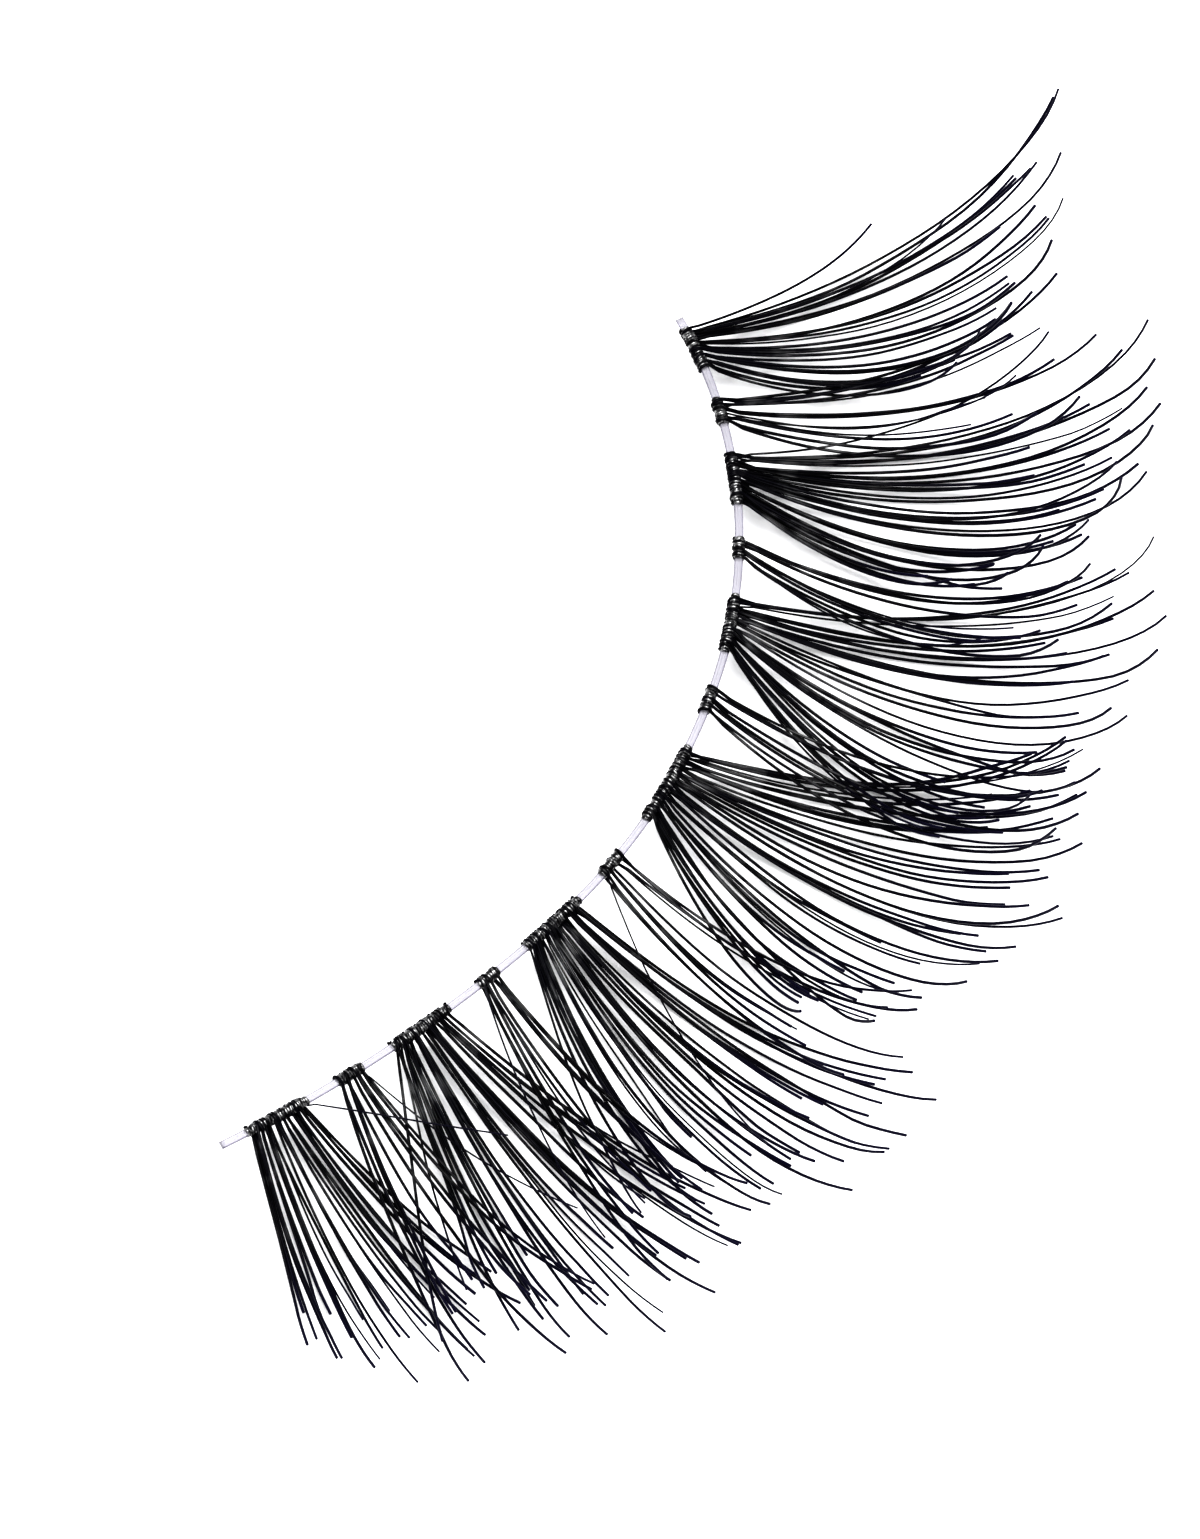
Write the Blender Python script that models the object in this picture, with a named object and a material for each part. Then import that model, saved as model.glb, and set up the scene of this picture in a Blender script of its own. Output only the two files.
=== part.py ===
"""False eyelash strip: thirteen knotted tufts of lashes on one clear, curved band.

Metres, +Z up. The strip lies on the bellies of its lashes at Z = 0, with its tips curling up.
The band's chord runs along X, the lashes fan out towards -Y, and the origin is under the middle.
"""

import math

import bmesh
import bpy
from mathutils import Vector

MM = 0.001

# The clear band, a flat thread
BAND_LENGTH = 34.2 * MM
BAND_WIDTH = 0.26 * MM
BAND_THICKNESS = 0.12 * MM
BAND_BEVEL = 0.04 * MM
BAND_STEP = 0.9 * MM
BAND_START_HEADING = -125.8

# The band's bend, a row for each arc from the +X end on: length, radius
BAND_ARCS = (
    (2.0 * MM, 12.7 * MM),
    (10.0 * MM, 16.6 * MM),
    (10.0 * MM, 19.2 * MM),
    (12.2 * MM, 43.3 * MM),
)

# The knots that are tied round the band
KNOT_HALF_WIDTH = 0.235 * MM
KNOT_HALF_HEIGHT = 0.20 * MM
KNOT_SIDES = 8
KNOT_RING_STEP = 0.20 * MM
KNOT_END_TAPER = 0.78
KNOT_TURN_DEPTH = 0.07
BORE_CLEARANCE = 0.03 * MM
BORE_STEPS_PAST_END = 1

# The locks of lashes, each two to four hairs lying together
ROOT_DEPTH = 0.12 * MM
ROOT_SPREAD = 0.84
LOCK_HALF_WIDTH = 0.105 * MM
LOCK_HALF_THICKNESS = 0.065 * MM
ROOT_SCALE = 0.7
FULL_AT = 0.3
TIP_SCALE = 0.18
LAYER_HEIGHT = 0.06 * MM
LAYER_PITCH = 3.0
CURL_POWER = 1.7
SEGMENT_LENGTH = 2.1 * MM
LARGE_DIP = 0.99 * MM
SMALL_DIP = 0.48 * MM

# How far along its course each lock reaches, in turn, for a wispy edge
REACH_PATTERN = (1.0, 0.82, 0.95, 0.70, 0.98, 0.88, 0.77)

# The tufts, a row for each from the +X end on: name, place of its middle along the band, length of
# its knot, number of locks, fan's first and last angle from the band's outward direction, length of
# its first, middle and last lashes, pitch of its tips, and turn of its first and last lashes sideways
# from root to tip
TUFTS = (
    ("tuft_large_1", 1.10 * MM, 1.44 * MM, 13, 3, -24, 14.8 * MM, 13.2 * MM, 9.4 * MM, 83, 7, 22),
    ("tuft_small_1", 3.35 * MM, 0.84 * MM, 5, 0, -16, 12.0 * MM, 13.0 * MM, 12.2 * MM, 74, 8, 24),
    ("tuft_large_2", 5.65 * MM, 1.74 * MM, 14, 0, -28, 14.8 * MM, 14.6 * MM, 9.8 * MM, 82, 8, 26),
    ("tuft_small_2", 8.00 * MM, 0.65 * MM, 5, -12, -20, 12.6 * MM, 14.0 * MM, 12.0 * MM, 74, 24, 26),
    ("tuft_large_3", 10.53 * MM, 1.93 * MM, 14, 9, -29, 14.4 * MM, 14.6 * MM, 12.4 * MM, 74, 2, 30),
    ("tuft_small_3", 13.15 * MM, 0.81 * MM, 5, -2, -9, 14.0 * MM, 14.8 * MM, 14.0 * MM, 70, 20, 24),
    ("tuft_large_4", 16.20 * MM, 2.79 * MM, 17, 20, -23, 12.4 * MM, 14.0 * MM, 9.8 * MM, 62, 7, 20),
    ("tuft_small_4", 19.38 * MM, 0.87 * MM, 5, 2, -9, 11.4 * MM, 12.4 * MM, 11.4 * MM, 50, 12, 12),
    ("tuft_large_5", 21.98 * MM, 2.24 * MM, 15, 10, -16, 13.6 * MM, 13.8 * MM, 11.6 * MM, 48, 9, 20),
    ("tuft_small_5", 24.59 * MM, 0.68 * MM, 5, 2, -12, 11.4 * MM, 13.0 * MM, 12.6 * MM, 42, 12, 12),
    ("tuft_large_6", 27.15 * MM, 2.13 * MM, 14, 14, -17, 12.0 * MM, 13.2 * MM, 11.2 * MM, 38, 3, 9),
    ("tuft_small_6", 29.73 * MM, 0.85 * MM, 5, 3, -12, 10.8 * MM, 12.4 * MM, 11.6 * MM, 34, 6, 8),
    ("tuft_large_7", 32.30 * MM, 2.10 * MM, 13, 12, -15, 9.4 * MM, 10.2 * MM, 8.0 * MM, 32, 4, 4),
)

FIBRE_COLOUR = (0.010, 0.009, 0.013, 1.0)
FIBRE_ROUGHNESS = 0.34
BAND_COLOUR = (0.82, 0.84, 0.92, 1.0)
BAND_ROUGHNESS = 0.18
BAND_ALPHA = 0.45


def remove_everything():
    for thing in list(bpy.data.objects):
        bpy.data.objects.remove(thing, do_unlink=True)


def plain_material(name, colour, roughness, alpha=1.0):
    material = bpy.data.materials.new(name)
    material.use_nodes = True
    shader = material.node_tree.nodes["Principled BSDF"]
    shader.inputs["Base Color"].default_value = colour
    shader.inputs["Roughness"].default_value = roughness
    shader.inputs["Metallic"].default_value = 0.0
    shader.inputs["Alpha"].default_value = alpha
    return material


def band_frame(station):
    """The band's middle, its direction and its outward direction at a distance along it from the +X end."""
    point = Vector((0.0, 0.0, 0.0))
    heading = math.radians(BAND_START_HEADING)
    left = station
    for arc_length, radius in BAND_ARCS:
        step = min(left, arc_length)
        turn = -step / radius
        chord = 2.0 * radius * math.sin(step / radius / 2.0)
        point += chord * Vector((math.cos(heading + turn / 2.0), math.sin(heading + turn / 2.0), 0.0))
        heading += turn
        left -= step
    along = Vector((math.cos(heading), math.sin(heading), 0.0))
    point += left * along
    outward = Vector((-along.y, along.x, 0.0))
    return point, along, outward


def tube(mesh, rings):
    """Adds one closed tube through the rings, which have the same number of points."""
    rows = [[mesh.verts.new(point) for point in ring] for ring in rings]
    sides = len(rows[0])
    for row, following in zip(rows, rows[1:]):
        for i in range(sides):
            j = (i + 1) % sides
            mesh.faces.new((row[i], row[j], following[j], following[i]))
    mesh.faces.new(list(reversed(rows[0])))
    mesh.faces.new(rows[-1])


def new_object(name, mesh, material, parent):
    bmesh.ops.recalc_face_normals(mesh, faces=mesh.faces)
    data = bpy.data.meshes.new(name)
    mesh.to_mesh(data)
    mesh.free()
    thing = bpy.data.objects.new(name, data)
    bpy.context.scene.collection.objects.link(thing)
    thing.parent = parent
    if material:
        data.materials.append(material)
    return thing


def shaded_smooth(thing):
    for face in thing.data.polygons:
        face.use_smooth = True
    return thing


def as_helper(thing):
    thing.hide_render = True
    thing.display_type = "WIRE"
    return thing


def band_ring(station, grow):
    """The band's section at a station: flat above and below, bevelled to an edge at each side."""
    point, _, outward = band_frame(station)
    half_width = BAND_WIDTH / 2.0 + grow
    half_height = BAND_THICKNESS / 2.0 + grow
    flat = half_width - BAND_BEVEL
    outline = (
        (half_width, 0.0),
        (flat, half_height),
        (-flat, half_height),
        (-half_width, 0.0),
        (-flat, -half_height),
        (flat, -half_height),
    )
    return [point + across * outward + Vector((0.0, 0.0, rise)) for across, rise in outline]


def band_stations(first, last):
    """The band's own stations from first to last, so that what is swept along it bends where it does."""
    return [i * BAND_STEP for i in range(first, last + 1)]


def build_band(material, parent):
    mesh = bmesh.new()
    last = round(BAND_LENGTH / BAND_STEP)
    tube(mesh, [band_ring(station, 0.0) for station in band_stations(0, last)])
    return new_object("band", mesh, material, parent)


def build_bore(middle, knot_length, name, parent):
    """The cutter that opens a knot round the band, with its clearance."""
    first = math.floor((middle - knot_length / 2.0) / BAND_STEP) - BORE_STEPS_PAST_END
    last = math.ceil((middle + knot_length / 2.0) / BAND_STEP) + BORE_STEPS_PAST_END
    mesh = bmesh.new()
    tube(mesh, [band_ring(station, BORE_CLEARANCE) for station in band_stations(first, last)])
    return as_helper(new_object(name, mesh, None, parent))


def build_knot(name, middle, knot_length, material, parent):
    """A wound knot: rings that swell and draw in with each turn of the winding, and draw in at the ends."""
    count = max(4, round(knot_length / KNOT_RING_STEP))
    rings = []
    for i in range(count + 1):
        point, _, outward = band_frame(middle + knot_length * (i / count - 0.5))
        swell = KNOT_END_TAPER if i in (0, count) else 1.0 - KNOT_TURN_DEPTH * (i % 2)
        rings.append([
            point
            + swell * KNOT_HALF_WIDTH * math.cos(angle) * outward
            + swell * KNOT_HALF_HEIGHT * math.sin(angle) * Vector((0.0, 0.0, 1.0))
            for angle in ((k + 0.5) * math.tau / KNOT_SIDES for k in range(KNOT_SIDES))
        ])
    mesh = bmesh.new()
    tube(mesh, rings)
    return shaded_smooth(new_object(name, mesh, material, parent))


def pitch_at(share, start_pitch, tip_pitch):
    """A lash's pitch in degrees at a share of its course: down at the root, ever steeper to the tip."""
    return start_pitch + (tip_pitch - start_pitch) * share ** CURL_POWER


def lash_dip(length, start_pitch, tip_pitch, steps=60):
    """How far below its root the lowest point of a lash lies."""
    height = 0.0
    lowest = 0.0
    for i in range(steps):
        pitch = math.radians(pitch_at((i + 0.5) / steps, start_pitch, tip_pitch))
        height += length / steps * math.sin(pitch)
        lowest = min(lowest, height)
    return -lowest


def start_pitch_for(length, tip_pitch, dip):
    """The pitch at the root with which a lash dips as far as asked, found by halving."""
    steep, flat = -40.0, 0.0
    for _ in range(40):
        middle = (steep + flat) / 2.0
        if lash_dip(length, middle, tip_pitch) > dip:
            steep = middle
        else:
            flat = middle
    return (steep + flat) / 2.0


def lock_scale(share):
    """A lock's thickness at a share of its length: tight at the root, full at its belly, fine at its tip."""
    opening = min(1.0, ROOT_SCALE + (1.0 - ROOT_SCALE) * share / FULL_AT)
    return opening * (1.0 - (1.0 - TIP_SCALE) * share ** 2)


def lock_rings(root, azimuth, length, course, start_pitch, tip_pitch, turn):
    """Sections of one lock: a slim diamond that follows its length of a lash's course to a blunt tip."""
    segments = max(4, round(length / SEGMENT_LENGTH))
    step = length / segments
    point = root.copy()
    rings = []
    for i in range(segments + 1):
        share = i * step / course
        pitch = math.radians(pitch_at(share, start_pitch, tip_pitch))
        heading = math.radians(azimuth + turn * (share - 0.5))
        tangent = Vector((
            math.cos(pitch) * math.cos(heading),
            math.cos(pitch) * math.sin(heading),
            math.sin(pitch),
        ))
        side = Vector((-math.sin(heading), math.cos(heading), 0.0))
        above = tangent.cross(side)
        size = lock_scale(i / segments)
        wide = size * LOCK_HALF_WIDTH * side
        thick = size * LOCK_HALF_THICKNESS * above
        rings.append([point + wide, point + thick, point - wide, point - thick])
        middle_share = (i + 0.5) * step / course
        pitch = math.radians(pitch_at(middle_share, start_pitch, tip_pitch))
        heading = math.radians(azimuth + turn * (middle_share - 0.5))
        point = point + step * Vector((
            math.cos(pitch) * math.cos(heading),
            math.cos(pitch) * math.sin(heading),
            math.sin(pitch),
        ))
    return rings


def build_locks(name, row, dip, parent):
    """All the locks of one tuft, fanned along its knot in two layers."""
    _, middle, knot_length, count, fan_first, fan_last, first, centre, last = row[:9]
    tip_pitch, turn_first, turn_last = row[9:]
    start_pitch = start_pitch_for(max(first, centre, last), tip_pitch, dip)
    mesh = bmesh.new()
    for i in range(count):
        share = i / (count - 1)
        point, along, outward = band_frame(middle + knot_length * ROOT_SPREAD * (share - 0.5))
        layer = i % 2
        root = point + ROOT_DEPTH * outward + Vector((0.0, 0.0, LAYER_HEIGHT * (2 * layer - 1)))
        fan = fan_first + (fan_last - fan_first) * share
        azimuth = math.degrees(math.atan2(outward.y, outward.x)) + fan
        course = (
            first * (1.0 - share) * (1.0 - 2.0 * share)
            + 4.0 * centre * share * (1.0 - share)
            + last * share * (2.0 * share - 1.0)
        )
        length = course * REACH_PATTERN[i % len(REACH_PATTERN)]
        pitch = start_pitch + LAYER_PITCH * layer
        turn = turn_first + (turn_last - turn_first) * share
        tube(mesh, lock_rings(root, azimuth, length, course, pitch, tip_pitch, turn))
    return as_helper(shaded_smooth(new_object(name, mesh, None, parent)))


def add_boolean(thing, name, operation, other, self_crossing):
    cut = thing.modifiers.new(name, "BOOLEAN")
    cut.operation = operation
    cut.object = other
    cut.solver = "EXACT"
    cut.use_self = self_crossing


def build_tuft(row, material, parent):
    """One tuft: its locks fused to its wound knot, which is opened round the band."""
    name, middle, knot_length = row[:3]
    dip = SMALL_DIP if "small" in name else LARGE_DIP
    knot = build_knot(name, middle, knot_length, material, parent)
    locks = build_locks(name + "_locks", row, dip, parent)
    bore = build_bore(middle, knot_length, name + "_bore", parent)
    add_boolean(knot, "fuse_locks", "UNION", locks, True)
    add_boolean(knot, "open_round_band", "DIFFERENCE", bore, False)
    return knot


def stand_on_floor(parent):
    """Puts the whole strip's middle over the origin and its lowest lock on the floor."""
    points = [
        vertex.co
        for thing in bpy.data.objects
        if thing.type == "MESH" and not thing.name.endswith("_bore")
        for vertex in thing.data.vertices
    ]
    low = Vector(min(point[axis] for point in points) for axis in range(3))
    high = Vector(max(point[axis] for point in points) for axis in range(3))
    parent.location = Vector((-(low.x + high.x) / 2.0, -(low.y + high.y) / 2.0, -low.z))


def main():
    remove_everything()
    strip = bpy.data.objects.new("strip", None)
    bpy.context.scene.collection.objects.link(strip)
    clear = plain_material("clear_band", BAND_COLOUR, BAND_ROUGHNESS, BAND_ALPHA)
    build_band(clear, strip)
    for row in TUFTS:
        fibre = plain_material(row[0] + "_fibre", FIBRE_COLOUR, FIBRE_ROUGHNESS)
        build_tuft(row, fibre, strip)
    stand_on_floor(strip)


main()
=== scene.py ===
"""Dresses the false eyelash strip: its clear band, its wound knots and the fine hairs of its tufts.

The file is laid out as an add-on and is run as a script. Sizes are in metres, +Z is up, and the
strip lies on the bellies of its lashes at Z = 0, with the lashes fanning out towards -Y.
"""

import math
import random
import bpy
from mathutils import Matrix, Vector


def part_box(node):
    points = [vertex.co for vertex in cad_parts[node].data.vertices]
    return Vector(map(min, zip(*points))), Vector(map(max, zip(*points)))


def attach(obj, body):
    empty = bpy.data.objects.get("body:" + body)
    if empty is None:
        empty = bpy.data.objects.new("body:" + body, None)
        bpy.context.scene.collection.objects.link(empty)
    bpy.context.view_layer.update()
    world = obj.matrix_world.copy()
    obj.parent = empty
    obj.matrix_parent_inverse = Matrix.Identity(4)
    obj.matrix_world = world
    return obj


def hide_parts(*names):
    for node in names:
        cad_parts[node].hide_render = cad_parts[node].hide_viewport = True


bl_info = {
    "name": "False Eyelash Strip",
    "version": (1, 0, 0),
    "blender": (4, 5, 0),
    "location": "3D View > Sidebar > Lashes",
    "description": "Makes a strip of false lashes: a clear band, wound knots and fanned, curling hairs",
    "category": "Object",
}

import bmesh
import bpy
from mathutils import Vector

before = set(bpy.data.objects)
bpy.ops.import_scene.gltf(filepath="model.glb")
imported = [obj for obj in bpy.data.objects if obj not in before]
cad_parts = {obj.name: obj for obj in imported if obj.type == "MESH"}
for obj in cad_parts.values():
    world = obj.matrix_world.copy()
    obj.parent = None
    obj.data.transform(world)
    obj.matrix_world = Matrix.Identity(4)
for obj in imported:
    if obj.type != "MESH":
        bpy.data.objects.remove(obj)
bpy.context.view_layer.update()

MM = 0.001
UP = Vector((0.0, 0.0, 1.0))

# The clear band, its heading at its +X end in degrees, and its arcs from there, a row for each: length,
# radius
BAND_LENGTH = 34.2 * MM
BAND_START_HEADING = -125.8
BAND_ARCS = (
    (2.0 * MM, 12.7 * MM),
    (10.0 * MM, 16.6 * MM),
    (10.0 * MM, 19.2 * MM),
    (12.2 * MM, 43.3 * MM),
)

# Steps for finding the band's box, along its ribbon and over a thread, and the part of its half width
# from which the painted edge shade sets in, a darker tint for the lines that refraction draws at the
# edges
BAND_SAMPLES = 400
BAND_STEPS = 180
THREAD_STEPS = 5
PAINTED_EDGE_SHADE_FROM = 0.62

# The course of the lashes, as in the solids: how far outward of the band's middle they start, the part
# of the knot that their roots spread over, half the distance between their two layers and the
# difference in pitch, how late they curl, how far the longest lash of a large and of a small tuft dips
# below the band, and the part of the full length that each lock in turn has
ROOT_DEPTH = 0.12 * MM
ROOT_SPREAD = 0.84
LAYER_HEIGHT = 0.06 * MM
LAYER_PITCH = 3.0
CURL_POWER = 1.7
LARGE_DIP = 0.99 * MM
SMALL_DIP = 0.48 * MM
REACH_PATTERN = (1.0, 0.82, 0.95, 0.70, 0.98, 0.88, 0.77)

# The tufts, a row for each from the +X end on: name, place of its middle along the band, length of
# its knot, number of locks, fan's first and last angle from the band's outward direction, length of
# its first, middle and last lashes, pitch of its tips, and turn of its first and last lashes sideways
# from root to tip
TUFTS = (
    ("tuft_large_1", 1.10 * MM, 1.44 * MM, 13, 3, -24, 14.8 * MM, 13.2 * MM, 9.4 * MM, 83, 7, 22),
    ("tuft_small_1", 3.35 * MM, 0.84 * MM, 5, 0, -16, 12.0 * MM, 13.0 * MM, 12.2 * MM, 74, 8, 24),
    ("tuft_large_2", 5.65 * MM, 1.74 * MM, 14, 0, -28, 14.8 * MM, 14.6 * MM, 9.8 * MM, 82, 8, 26),
    ("tuft_small_2", 8.00 * MM, 0.65 * MM, 5, -12, -20, 12.6 * MM, 14.0 * MM, 12.0 * MM, 74, 24, 26),
    ("tuft_large_3", 10.53 * MM, 1.93 * MM, 14, 9, -29, 14.4 * MM, 14.6 * MM, 12.4 * MM, 74, 2, 30),
    ("tuft_small_3", 13.15 * MM, 0.81 * MM, 5, -2, -9, 14.0 * MM, 14.8 * MM, 14.0 * MM, 70, 20, 24),
    ("tuft_large_4", 16.20 * MM, 2.79 * MM, 17, 20, -23, 12.4 * MM, 14.0 * MM, 9.8 * MM, 62, 7, 20),
    ("tuft_small_4", 19.38 * MM, 0.87 * MM, 5, 2, -9, 11.4 * MM, 12.4 * MM, 11.4 * MM, 50, 12, 12),
    ("tuft_large_5", 21.98 * MM, 2.24 * MM, 15, 10, -16, 13.6 * MM, 13.8 * MM, 11.6 * MM, 48, 9, 20),
    ("tuft_small_5", 24.59 * MM, 0.68 * MM, 5, 2, -12, 11.4 * MM, 13.0 * MM, 12.6 * MM, 42, 12, 12),
    ("tuft_large_6", 27.15 * MM, 2.13 * MM, 14, 14, -17, 12.0 * MM, 13.2 * MM, 11.2 * MM, 38, 3, 9),
    ("tuft_small_6", 29.73 * MM, 0.85 * MM, 5, 3, -12, 10.8 * MM, 12.4 * MM, 11.6 * MM, 34, 6, 8),
    ("tuft_large_7", 32.30 * MM, 2.10 * MM, 13, 12, -15, 9.4 * MM, 10.2 * MM, 8.0 * MM, 32, 4, 4),
)

# How many hairs lie in each lock, in turn, and the tufts that differ
LARGE_HAIRS = (2, 2, 3, 2, 2, 3, 2)
SMALL_HAIRS = (2, 2, 1, 3, 2)
OTHER_HAIRS = {
    "tuft_large_1": (2, 2, 3, 1, 2, 2, 2),
    "tuft_large_2": (3, 2, 3, 3, 2, 3, 2),
    "tuft_large_4": (3, 2, 3, 2, 2, 3, 2),
    "tuft_small_1": (2, 3, 2, 3, 2),
    "tuft_small_3": (2, 1, 2, 1, 2),
}

# How many clumps the hairs of a tuft draw into, how hard, and the part of their course where they let go
LARGE_CLUMPS = 7
SMALL_CLUMPS = 3
CLUMP_GRIP = 0.30
GRIP_RANGE = (0.5, 1.3)
CLUMP_RELEASE = 0.85

# How single hairs differ from their lock: along the knot, in height, in direction as a part of the
# splay, in length as a part of the lock's for its first hair and the others, in pitch at the root in
# degrees, in pitch at the tip as a part of the tuft's, in sideways turn in degrees, and in their place
# among the clumps
STATION_SPREAD = 0.05 * MM
HEIGHT_SPREAD = 0.03 * MM
SPLAY_SPREAD = 0.6
FIRST_REACH = (0.97, 1.02)
OTHER_REACH = (0.80, 1.0)
PITCH_RANGE = (-0.8, 1.6)
CURL_RANGE = (0.92, 1.06)
BEND_SPREAD = 2.6
PLACE_SPREAD = 0.04

# The palest tone of the bold hairs, and the part of the full thickness above which a hair is bold
BOLD_TONE = 0.25
BOLD_FROM = 0.6

# Hairs that leave their tuft's order, a row for each: tuft, place along its knot, direction from the
# band's outward direction, length, pitch at the root and at the tip, turn, part of the full thickness
STRAYS = (
    ("tuft_large_1", -0.44, 0.0, 6.6 * MM, -6.0, 52.0, 8.0, 0.90),
    ("tuft_large_1", -0.30, -6.0, 9.0 * MM, -12.0, 66.0, 4.0, 0.62),
    ("tuft_small_1", 0.30, -12.0, 9.4 * MM, -12.0, 60.0, 10.0, 0.62),
    ("tuft_large_2", -0.44, 6.0, 11.0 * MM, -12.0, 70.0, 12.0, 0.75),
    ("tuft_small_2", 0.36, -24.0, 8.6 * MM, -12.0, 50.0, 26.0, 0.58),
    ("tuft_large_3", 0.40, -36.0, 9.0 * MM, -14.0, 40.0, 22.0, 0.70),
    ("tuft_large_4", -0.40, 20.0, 12.4 * MM, -14.0, 50.0, 10.0, 0.62),
    ("tuft_small_4", 0.42, -25.0, 11.0 * MM, -12.0, 36.0, 14.0, 0.55),
    ("tuft_large_5", 0.46, -24.0, 10.0 * MM, -12.0, 34.0, 8.0, 0.70),
    ("tuft_small_5", 0.40, -19.0, 9.6 * MM, -10.0, 30.0, 10.0, 0.55),
    ("tuft_large_6", 0.47, -29.0, 10.4 * MM, -10.0, 28.0, 2.0, 0.90),
    ("tuft_large_6", 0.40, -24.0, 8.8 * MM, -10.0, 28.0, 4.0, 0.70),
    ("tuft_small_6", -0.40, 18.0, 8.0 * MM, -10.0, 26.0, 6.0, 0.55),
    ("tuft_large_7", -0.47, 46.0, 6.0 * MM, -1.0, 3.0, -6.0, 0.50),
)

# The hairs' thicknesses, a row for each sort: share of all the hairs, part of the full thickness
HAIR_SORTS = (
    (0.68, 1.0),
    (0.21, 0.86),
    (0.11, 0.62),
)

# The bend of a root round the knot: degrees from the outward side over the top, its reach from the
# band's middle and the range of its size, its drift along the band, and the share that goes over the top
WRAP_ANGLES = (212.0, 186.0, 160.0, 134.0, 108.0, 82.0, 58.0, 38.0)
WRAP_HALF_WIDTH = 0.185 * MM
WRAP_HALF_HEIGHT = 0.160 * MM
WRAP_RANGE = (0.86, 1.0)
WRAP_DRIFT = 0.10 * MM
WRAPPED_OVER = 0.62

# The steps along a lash, the first stretch of it that its bent root takes the place of, and how late
# it tapers
LASH_STEPS = 24
ROOT_SKIP = 0.22 * MM
TAPER_POWER = 3

# The search for the pitch at the root: its steepest end, its halvings, and the steps that find a dip
STEEPEST_PITCH = -40.0
HALVINGS = 40
DIP_STEPS = 60

# A hair's small waves: how far apart the noises of the darkest and the palest hair lie, and what brings
# the noise, half a unit either way, to a whole one
TONE_SHIFT = 3.0
FULL_SWING = 2.0

# The winding of a knot: steps along it, the part of the knot's length that it covers, its fullness at
# the very end and how fast it fills from there, and its lumps, with their turn in radians
KNOT_STEPS = 24
KNOT_COVER = 0.96
KNOT_END = 0.80
KNOT_END_RISE = 1.6
SMALL_LUMP = 0.06
LARGE_LUMP = 0.05
LUMP_TURN = 7.0

# The turns of a knot: faces round the core, steps round a turn, faces round the thread, how many
# threads' thickness the core lies within the winding, the turns' lean in radians, and the part of their
# unevenness that goes to larger turns
CORE_SIDES = 20
TURN_STEPS = 22
THREAD_SIDES = 7
CORE_INSET = 0.8
TURN_TILT = 0.18
UPWARD_PART = 0.4

# The grain of the finishes, in waves a metre
SHEEN_WAVES = 800.0
FIBRE_WAVES = 900.0
THREAD_WAVES = 7000.0
NYLON_WAVES = 1500.0
FLOOR_WAVES = 60.0

# The view: the photograph's angle, how much of the object fills the height, and what is in the middle
VIEW_ELEVATION = 62.0
VIEW_TURN = -64.3
VIEW_DISTANCE = 1.2
VIEW_HEIGHT = 45.265 * MM
VIEW_MIDDLE_FROM_BAND_START = (-14.61 * MM, -4.43 * MM)
SENSOR = 36.0
CLIP = (0.01, 10.0)

# The lights, a row for each: name, setting that holds its power, width, place
LIGHTS = (
    ("key_light", "key", 0.16, (0.14, 0.07, 0.48)),
    ("fill_light", "fill", 0.90, (-0.10, -0.05, 0.70)),
)
LIGHT_TARGET = Vector((0.0, 0.0, 1.0 * MM))


def raw_band_frame(station):
    """The band's middle, direction and outward direction at a station, measured from its +X end."""
    point = Vector((0.0, 0.0, 0.0))
    heading = math.radians(BAND_START_HEADING)
    left = station
    for arc_length, radius in BAND_ARCS:
        step = min(left, arc_length)
        turn = -step / radius
        chord = 2.0 * radius * math.sin(step / radius / 2.0)
        point += chord * Vector((math.cos(heading + turn / 2.0), math.sin(heading + turn / 2.0), 0.0))
        heading += turn
        left -= step
    along = Vector((math.cos(heading), math.sin(heading), 0.0))
    point += left * along
    outward = Vector((-along.y, along.x, 0.0))
    return point, along, outward


def band_start():
    """Where the band's +X end is in the frame, found from the band node's box."""
    low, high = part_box("band")
    middles = [raw_band_frame(BAND_LENGTH * i / BAND_SAMPLES)[0] for i in range(BAND_SAMPLES + 1)]
    x_middle = (min(p.x for p in middles) + max(p.x for p in middles)) / 2.0
    y_middle = (min(p.y for p in middles) + max(p.y for p in middles)) / 2.0
    return Vector((
        (low[0] + high[0]) / 2.0 - x_middle,
        (low[1] + high[1]) / 2.0 - y_middle,
        (low[2] + high[2]) / 2.0,
    ))


BAND_START = band_start()


def band_frame(station):
    """The band's middle, direction and outward direction at a station, where it lies in the frame."""
    point, along, outward = raw_band_frame(station)
    return BAND_START + point, along, outward


class LashBandSettings(bpy.types.PropertyGroup):
    """The clear band."""

    width: bpy.props.FloatProperty(
        name="Width", description="Width of the band", default=0.26 * MM, unit="LENGTH")
    thickness: bpy.props.FloatProperty(
        name="Thickness", description="Thickness of the band", default=0.12 * MM, unit="LENGTH")
    threads: bpy.props.IntProperty(
        name="Threads", description="Clear threads fused side by side", default=3, min=2)
    colour: bpy.props.FloatVectorProperty(
        name="Colour", description="Tint of the clear nylon", subtype="COLOR", size=4,
        default=(0.43, 0.42, 0.465, 1.0))
    # Painted shade: the darker tint of the two edges stands in for the dark lines that refraction draws
    # there
    painted_edge_shade_colour: bpy.props.FloatVectorProperty(
        name="Edge colour", description="Tint of the nylon's two edges", subtype="COLOR", size=4,
        default=(0.15, 0.14, 0.20, 1.0))
    roughness: bpy.props.FloatProperty(
        name="Roughness", description="Roughness of the nylon", default=0.16, subtype="FACTOR")


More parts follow.
